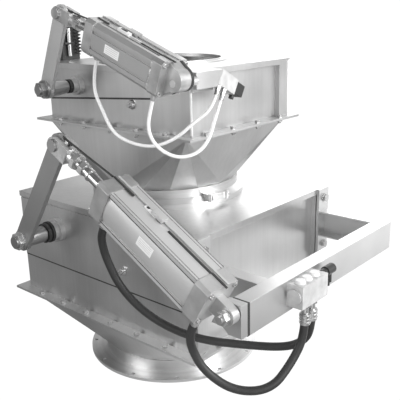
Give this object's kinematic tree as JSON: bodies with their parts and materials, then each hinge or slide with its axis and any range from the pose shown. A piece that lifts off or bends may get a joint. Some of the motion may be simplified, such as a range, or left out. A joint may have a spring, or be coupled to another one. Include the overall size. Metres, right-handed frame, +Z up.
{
  "type": "pneumatic double flap valve",
  "caption": "Two stacked sheet-steel flap valves joined by a clamp ring, each with an outside lever, an air cylinder, a valve block and two hoses, above a round flanged outlet.",
  "frame": {"origin": "centre of the outlet ring's underside", "axes": "+Z up along the outlet, +X out through the recessed front panels, -Y the side of the levers and cylinders; the shafts turn about Y"},
  "size_m": [0.952, 0.7405, 0.988],
  "materials": {
    "sheet_steel": "galvanised, brushed",
    "frame_steel": "zinc plated",
    "lever_steel": "ground",
    "cast_alloy": "satin",
    "barrel_alloy": "anodised",
    "bright_steel": "polished",
    "zinc": "zinc plated",
    "black_rubber": "matt",
    "black_plastic": "matt",
    "white_plastic": "satin",
    "white_tube": "translucent white"
  },
  "bodies": {
    "stack": {"lower_outlet_ring": "sheet_steel", "lower_hopper": "sheet_steel", "lower_flange_frame": "sheet_steel", "lower_casing": "sheet_steel", "lower_top_plate": "sheet_steel", "lower_side_cover": "sheet_steel", "cover_gaskets": "black_rubber", "rear_switch_box": "black_plastic", "lower_bearings": "cast_alloy", "lower_frame_bar": "frame_steel", "lower_frame_arms": "frame_steel", "lower_bolts": "zinc", "lower_bar_pad": "black_rubber", "lower_pivot_plate": "frame_steel", "lower_pivot_bolt": "zinc", "lower_valve_body": "cast_alloy", "lower_valve_caps": "white_plastic", "lower_valve_gland": "black_plastic", "lower_hose_fittings": "zinc", "clamp_ring": "sheet_steel", "clamp_latch": "zinc", "upper_hopper": "sheet_steel", "upper_flange_frame": "sheet_steel", "upper_flange_bolts": "zinc", "upper_casing": "sheet_steel", "upper_top_plate": "sheet_steel", "inlet_ring": "sheet_steel", "upper_bearings": "cast_alloy", "shaft_seals": "black_rubber", "upper_bracket_bar": "frame_steel", "upper_valve_body": "cast_alloy", "upper_valve_connector": "black_plastic", "upper_fittings": "zinc", "lower_hose_a": "black_rubber", "lower_hose_b": "black_rubber", "upper_tube_a": "white_tube", "upper_tube_b": "white_tube"},
    "lower_flap_unit": {"lower_shaft": "bright_steel", "lower_lever": "lever_steel", "lower_lever_nut": "zinc", "lower_flap": "sheet_steel", "lower_flap_seal": "black_rubber"},
    "lower_barrel": {"lower_cyl_rear_cap": "cast_alloy", "lower_cyl_front_cap": "cast_alloy", "lower_cyl_barrel": "barrel_alloy", "lower_cyl_screws": "zinc", "lower_cyl_rail": "barrel_alloy", "lower_cyl_ports": "zinc"},
    "lower_rod": {"lower_piston_rod": "bright_steel", "lower_fork": "zinc", "lower_fork_pin": "bright_steel"},
    "upper_flap_unit": {"upper_shaft": "bright_steel", "upper_lever": "lever_steel", "upper_flap": "sheet_steel"},
    "upper_barrel": {"upper_cyl_rear_cap": "cast_alloy", "upper_cyl_front_cap": "cast_alloy", "upper_cyl_barrel": "barrel_alloy", "upper_cyl_rail": "barrel_alloy"},
    "upper_rod": {"upper_piston_rod": "bright_steel", "upper_fork": "zinc"}
  },
  "joints": [
    {"name": "lower_flap_swing", "type": "hinge", "parent": "stack", "child": "lower_flap_unit", "pos_m": [-0.16, -0.39, 0.398], "axis": [0, -1, 0], "range_deg": [0, 28]},
    {"name": "lower_cylinder_tilt", "type": "hinge", "parent": "stack", "child": "lower_barrel", "pos_m": [0.531, -0.39, 0.398], "axis": [0, -1, 0], "range_deg": [0, 1.5], "deforming": ["lower_hose_a", "lower_hose_b"]},
    {"name": "lower_rod_stroke", "type": "slide", "parent": "lower_barrel", "child": "lower_rod", "axis": [-0.8712, 0, 0.4908], "range_m": [0, 0.165]},
    {"name": "upper_flap_swing", "type": "hinge", "parent": "stack", "child": "upper_flap_unit", "pos_m": [-0.127, -0.296, 0.784], "axis": [0, -1, 0], "range_deg": [0, 28]},
    {"name": "upper_cylinder_tilt", "type": "hinge", "parent": "stack", "child": "upper_barrel", "pos_m": [0.331, -0.296, 0.825], "axis": [0, -1, 0], "range_deg": [0, 1.6], "deforming": ["upper_tube_a", "upper_tube_b"]},
    {"name": "upper_rod_stroke", "type": "slide", "parent": "upper_barrel", "child": "upper_rod", "axis": [-0.9337, 0, 0.358], "range_m": [0, 0.098]}
  ],
  "couplings": [
    {"joint": "lower_cylinder_tilt", "follows": "lower_flap_swing", "ratio": 0.05219},
    {"joint": "lower_rod_stroke", "follows": "lower_flap_swing", "m_per_rad": 0.33605},
    {"joint": "upper_cylinder_tilt", "follows": "upper_flap_swing", "ratio": 0.05657},
    {"joint": "upper_rod_stroke", "follows": "upper_flap_swing", "m_per_rad": 0.1994}
  ]
}
